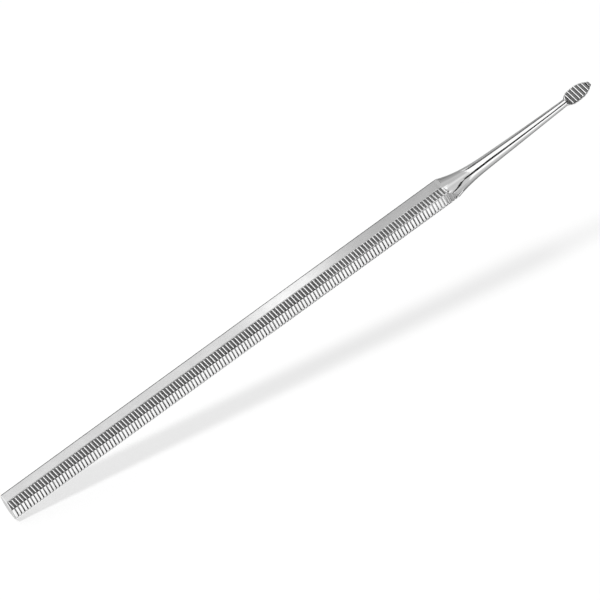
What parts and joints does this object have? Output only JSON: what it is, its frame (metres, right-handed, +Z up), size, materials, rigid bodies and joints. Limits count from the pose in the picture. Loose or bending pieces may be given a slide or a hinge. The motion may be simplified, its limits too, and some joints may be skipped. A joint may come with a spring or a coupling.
{
  "type": "ingrown toenail file",
  "caption": "One-piece steel nail file: grooved octagonal handle with plain top and bottom flats, a waisted neck, a thin tapering round shank and a small leaf-shaped toothed head.",
  "frame": {"origin": "on the surface that the tool rests on, below the middle of its length and width", "axes": "+X runs along the tool towards the file head, +Z is up out of the plain top flat of the handle, and the head's broad face looks up and towards -Y"},
  "size_m": [0.145, 0.0052, 0.0053],
  "materials": {
    "handle_steel": "satin polished flats with fine pressed cross grooves",
    "shank_steel": "bright polished",
    "head_steel": "ground, with cut teeth"
  },
  "bodies": {
    "root": {"handle": "handle_steel", "shank": "shank_steel", "file_head": "head_steel"}
  },
  "joints": []
}
